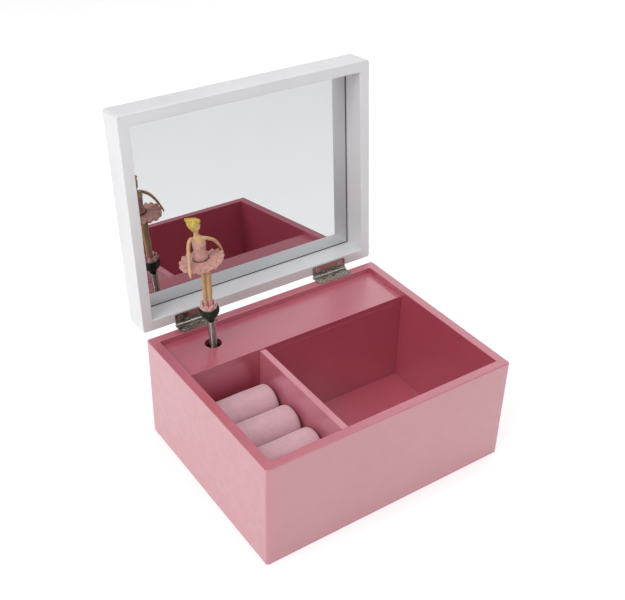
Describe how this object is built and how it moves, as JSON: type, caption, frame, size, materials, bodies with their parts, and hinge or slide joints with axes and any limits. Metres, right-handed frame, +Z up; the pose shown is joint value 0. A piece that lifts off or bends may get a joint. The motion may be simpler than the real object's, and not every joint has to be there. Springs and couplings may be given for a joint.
{
  "type": "ballerina jewellery box",
  "caption": "Painted wooden jewellery box with a mirrored hinged lid, ring rolls, divided tray and a clockwork dancer that turns on a spring post.",
  "frame": {"origin": "centre of the box's footprint on the surface that it stands on", "axes": "+X to the box's right, +Y to its hinged back, +Z up; stored with the lid open against its stop"},
  "size_m": [0.18, 0.179, 0.2203],
  "materials": {
    "pink_paint": "satin pink paint on fibreboard",
    "white_paint": "satin white paint on fibreboard",
    "velvet_base": "flocked foam",
    "velvet_roll": "velvet wrapped foam",
    "mirror": "silvered glass",
    "hinge_nickel": "nickel plated",
    "screw_steel": "plated screw",
    "movement_steel": "plated pressing",
    "movement_brass": "turned",
    "spring_wire": "nickel plated wire",
    "key_plate": "nickel plated",
    "cup_green": "painted resin",
    "petal_pink": "painted resin",
    "figure_paint": "painted resin",
    "skirt_pink": "painted resin with dots"
  },
  "bodies": {
    "box": {"front_panel": "pink_paint", "back_panel": "pink_paint", "left_panel": "pink_paint", "right_panel": "pink_paint", "base_panel": "pink_paint", "music_wall": "pink_paint", "dancer_shelf": "pink_paint", "divider": "pink_paint", "ring_roll_base": "velvet_base", "ring_roll_back": "velvet_roll", "ring_roll_middle": "velvet_roll", "ring_roll_front": "velvet_roll", "hinge_leaf_box_left": "hinge_nickel", "hinge_leaf_box_right": "hinge_nickel", "hinge_pins": "hinge_nickel", "hinge_screws_box": "screw_steel", "bedplate": "movement_steel", "movement_screws": "screw_steel", "clutch_spring": "movement_steel", "bracket_left": "movement_steel", "bracket_right": "movement_steel", "comb": "movement_steel", "comb_screws": "screw_steel", "governor_frame": "movement_steel", "spindle_bracket": "movement_steel"},
    "lid": {"lid_rail_front": "white_paint", "lid_rail_back": "white_paint", "lid_rail_left": "white_paint", "lid_rail_right": "white_paint", "lid_top_panel": "white_paint", "mirror_glass": "mirror", "hinge_leaf_lid_left": "hinge_nickel", "hinge_leaf_lid_right": "hinge_nickel", "hinge_screws_lid": "screw_steel"},
    "barrel": {"spring_barrel": "movement_brass", "barrel_cap": "movement_steel", "mainspring": "movement_steel"},
    "winder": {"winding_arbor": "movement_steel", "winding_key": "key_plate"},
    "cylinder": {"music_cylinder": "movement_brass", "cylinder_arbor": "movement_steel", "cylinder_pinion": "movement_steel", "cylinder_wheel": "movement_brass"},
    "governor": {"governor_wheel": "movement_brass"},
    "fly": {"governor_worm": "movement_steel", "governor_fly": "movement_brass"},
    "spindle": {"dancer_spindle": "movement_steel", "spindle_pinion": "movement_brass"},
    "spring_post": {"dancer_spring": "spring_wire"},
    "dancer": {"flower_cup": "cup_green", "flower_petals": "petal_pink", "dancer_figure": "figure_paint", "dancer_skirt": "skirt_pink"}
  },
  "joints": [
    {"name": "lid_hinge", "type": "hinge", "parent": "box", "child": "lid", "pos_m": [0, 0.074, 0.0749], "axis": [1, 0, 0], "range_deg": [0, 95]},
    {"name": "dancer_fold", "type": "hinge", "parent": "box", "child": "spring_post", "pos_m": [-0.0531, 0.0512, 0.08], "axis": [1, 0, 0], "range_deg": [0, 101.65], "deforming": ["dancer_spring"]},
    {"name": "dancer_spin", "type": "hinge", "parent": "spring_post", "child": "dancer", "pos_m": [-0.0531, 0.0512, 0.08], "axis": [-0.0895, 0.0604, 0.9942], "continuous": true},
    {"name": "cylinder_spin", "type": "hinge", "parent": "box", "child": "cylinder", "pos_m": [-0.025, 0.0512, 0.03], "axis": [1, 0, 0], "continuous": true},
    {"name": "barrel_spin", "type": "hinge", "parent": "box", "child": "barrel", "pos_m": [-0.0531, 0.058, 0.03], "axis": [0, 1, 0], "continuous": true},
    {"name": "spindle_spin", "type": "hinge", "parent": "box", "child": "spindle", "pos_m": [-0.0531, 0.0512, 0.05], "axis": [0, 0, 1], "continuous": true},
    {"name": "governor_spin", "type": "hinge", "parent": "box", "child": "governor", "pos_m": [-0.01, 0.0512, 0.0408], "axis": [1, 0, 0], "continuous": true},
    {"name": "fly_spin", "type": "hinge", "parent": "box", "child": "fly", "pos_m": [-0.007, 0.044, 0.045], "axis": [0, 0, 1], "continuous": true},
    {"name": "key_turn", "type": "hinge", "parent": "box", "child": "winder", "pos_m": [-0.0531, 0.07, 0.03], "axis": [0, 1, 0], "continuous": true}
  ],
  "couplings": [
    {"joint": "dancer_fold", "follows": "lid_hinge", "ratio": 1.07},
    {"joint": "dancer_spin", "follows": "cylinder_spin", "ratio": 1},
    {"joint": "spindle_spin", "follows": "cylinder_spin", "ratio": 1},
    {"joint": "barrel_spin", "follows": "cylinder_spin", "ratio": -0.25},
    {"joint": "governor_spin", "follows": "cylinder_spin", "ratio": -5},
    {"joint": "fly_spin", "follows": "cylinder_spin", "ratio": -150}
  ]
}
